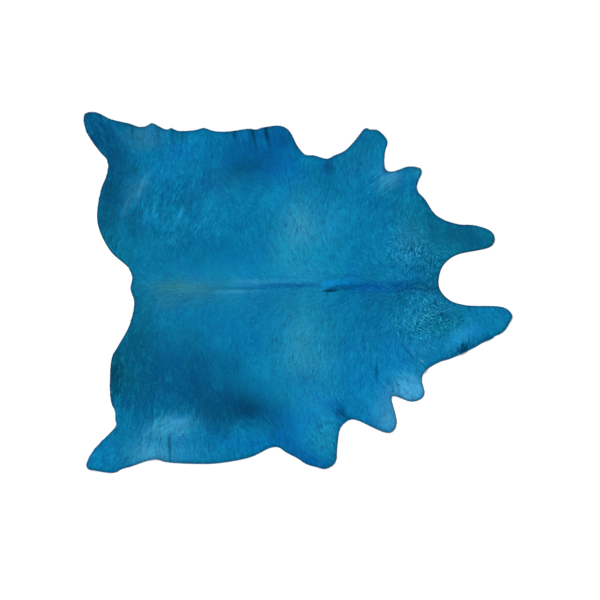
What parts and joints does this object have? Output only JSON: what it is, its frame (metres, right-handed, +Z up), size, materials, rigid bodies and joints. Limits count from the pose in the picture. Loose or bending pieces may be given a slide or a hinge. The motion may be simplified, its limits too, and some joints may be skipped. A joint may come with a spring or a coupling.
{
  "type": "cowhide rug",
  "caption": "Whole hair-on cow hide dyed blue, laid flat hair side up, with trimmed legs, cheeks and neck, a tuck on the spine and ruffled belly edges.",
  "frame": {"origin": "on the floor, under the middle of the hide's box", "axes": "+X runs along the spine from the tail to the neck, +Y to the animal's left side, +Z up through the hair side"},
  "size_m": [2.1995, 1.8523, 0.0182],
  "materials": {
    "dyed_hair_on_hide": "short combed hair, vat-dyed mottled blue and teal, soft sheen, suede flesh side below"
  },
  "bodies": {
    "root": {"hide": "dyed_hair_on_hide"}
  },
  "joints": []
}
